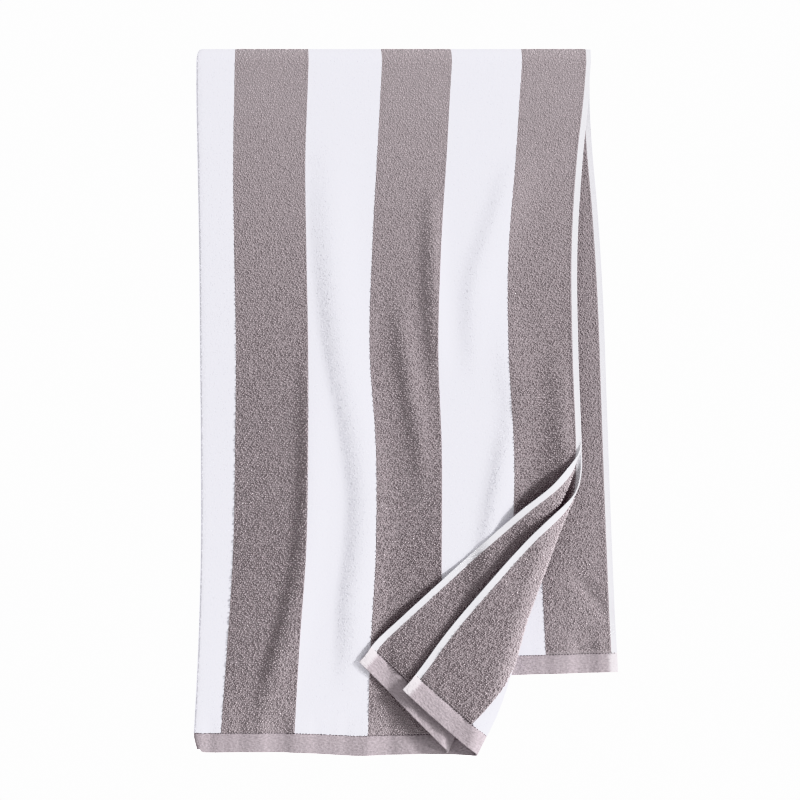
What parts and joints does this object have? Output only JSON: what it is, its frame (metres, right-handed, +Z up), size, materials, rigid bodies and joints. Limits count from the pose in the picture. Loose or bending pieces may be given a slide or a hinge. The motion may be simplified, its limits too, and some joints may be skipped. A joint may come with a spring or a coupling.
{
  "type": "beach towel",
  "caption": "Striped terry beach towel folded in half lengthwise and hung over a rail, its lower front corners turned up",
  "frame": {"origin": "at the inside top of the crosswise fold, where the towel hangs on its rail, halfway between front and back", "axes": "+Z up, +X across to the selvedges, -Y towards the viewer, who sees the longer front"},
  "size_m": [0.4789, 0.0673, 0.7996],
  "materials": {
    "terry_cloth": "cotton terry with lengthwise stripes in grey and white, flat-woven grey hems and white selvedges"
  },
  "bodies": {
    "root": {"towel": "terry_cloth"}
  },
  "joints": []
}
